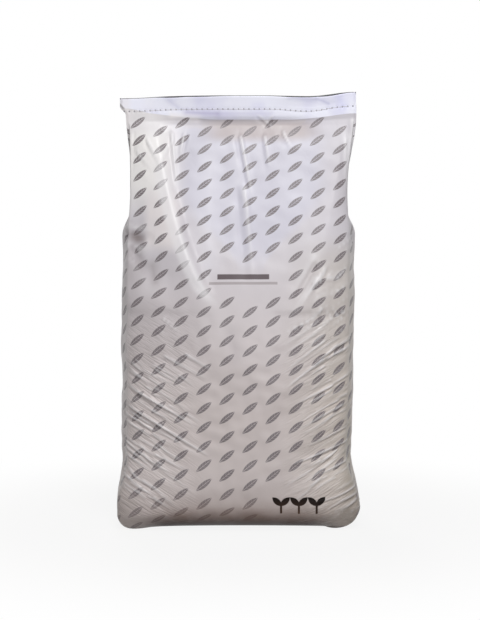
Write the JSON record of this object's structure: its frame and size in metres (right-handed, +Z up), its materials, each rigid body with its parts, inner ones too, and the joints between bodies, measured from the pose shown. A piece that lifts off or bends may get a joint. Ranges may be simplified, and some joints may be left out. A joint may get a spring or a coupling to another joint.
{
  "type": "filled compost bag",
  "caption": "Upright filled side-gusset film bag with a flat sewn header, open lips above the chain stitch, a slack upper front, drag folds and a flat base to stand on.",
  "frame": {"origin": "middle of the base, on the surface that the bag stands on", "axes": "+Z up, -Y out of the printed front, +X to the right as the front is seen"},
  "size_m": [0.4654, 0.2642, 0.829],
  "materials": {
    "film": "white polyethylene film, semi-gloss, printed in grey, black on its inner side",
    "thread": "white spun sewing thread"
  },
  "bodies": {
    "root": {"filled_bag": "film", "closing_thread": "thread"}
  },
  "joints": []
}
